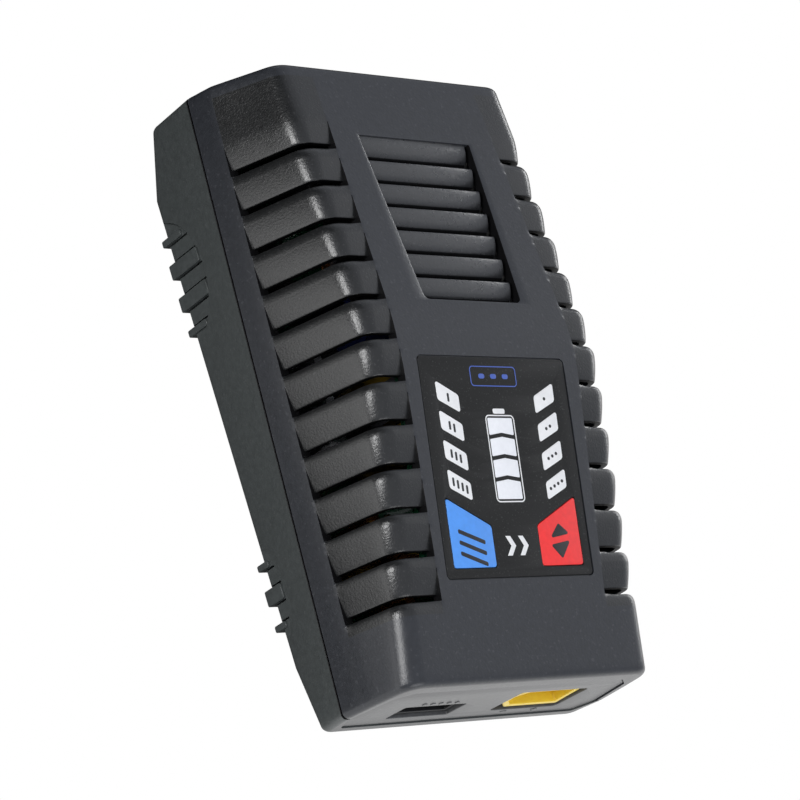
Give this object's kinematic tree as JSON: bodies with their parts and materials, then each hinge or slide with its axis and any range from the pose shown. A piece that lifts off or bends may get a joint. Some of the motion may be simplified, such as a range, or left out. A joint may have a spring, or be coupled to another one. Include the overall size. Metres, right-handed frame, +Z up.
{
  "type": "balance battery charger",
  "caption": "Wedge-shaped mains battery charger with gill vents, louvred grille, lit front overlay, two keys, an XT60 output and a balance socket.",
  "frame": {"origin": "middle of the case's footprint, on the plane that the feet stand on", "axes": "+Z up, +Y towards the mains inlet end, +X to the right when the outputs face the viewer"},
  "size_m": [0.0708, 0.1221, 0.0425],
  "materials": {
    "case_black": "satin moulded ABS, fine grain",
    "case_grey": "satin moulded ABS",
    "overlay_print": "textured polycarbonate film",
    "key_blue": "satin",
    "key_red": "satin",
    "light_white": "milky diffuser",
    "dark_plastic": "moulded",
    "board_green": "solder mask over glass epoxy",
    "connector_yellow": "nylon",
    "connector_white": "nylon",
    "gold": "gold plated",
    "tin": "tin plated",
    "screw_steel": "zinc plated steel",
    "aluminium": "mill finish",
    "ferrite": "sintered ferrite",
    "copper": "enamelled copper wire",
    "tape_yellow": "polyester tape",
    "sleeve_blue": "shrink sleeve",
    "paper": "insulating paper",
    "led_body": "clear epoxy"
  },
  "bodies": {
    "case": {"top_shell": "case_black", "bottom_shell": "case_grey", "output_panel": "case_grey", "inlet_panel": "case_grey", "front_overlay": "overlay_print", "mode_light_guide": "light_white", "current_light_guide": "light_white", "charge_bar_guide": "light_white", "light_baffle": "dark_plastic", "control_board": "board_green", "tact_switches": "tin", "indicator_leds": "led_body", "controller_chip": "dark_plastic", "buzzer": "dark_plastic", "control_board_screws": "screw_steel", "board_link": "connector_white", "power_board": "board_green", "board_screws": "screw_steel", "insulation_sheet": "paper", "xt60_housing": "connector_yellow", "xt60_pins": "gold", "balance_header": "dark_plastic", "balance_pins": "tin", "inlet_socket": "dark_plastic", "inlet_pins": "tin", "inlet_fuse": "dark_plastic", "x_capacitor": "tape_yellow", "common_mode_choke": "ferrite", "choke_winding": "copper", "bridge_rectifier": "dark_plastic", "bulk_capacitor": "sleeve_blue", "transformer_core": "ferrite", "transformer_bobbin": "tape_yellow", "heat_sinks": "aluminium", "power_transistors": "dark_plastic", "output_inductor": "tape_yellow", "inductor_winding": "copper", "output_capacitors": "sleeve_blue", "balance_resistors": "dark_plastic", "fan_frame": "dark_plastic", "fan_stator": "copper", "fan_screws": "screw_steel", "case_screws": "screw_steel"},
    "mode_button": {"mode_key": "key_blue", "mode_plunger": "dark_plastic"},
    "current_button": {"current_key": "key_red", "current_plunger": "dark_plastic"},
    "fan_wheel": {"fan_rotor": "dark_plastic"}
  },
  "joints": [
    {"name": "mode_press", "type": "slide", "parent": "case", "child": "mode_button", "axis": [0, 0.2296, -0.9733], "range_m": [0, 0.0003], "stiffness_N_per_m": 100},
    {"name": "current_press", "type": "slide", "parent": "case", "child": "current_button", "axis": [0, 0.2296, -0.9733], "range_m": [0, 0.0003], "stiffness_N_per_m": 100},
    {"name": "fan_spin", "type": "hinge", "parent": "case", "child": "fan_wheel", "pos_m": [0, 0.02598, 0.04152], "axis": [0, 0.0494, 0.9988], "continuous": true}
  ]
}
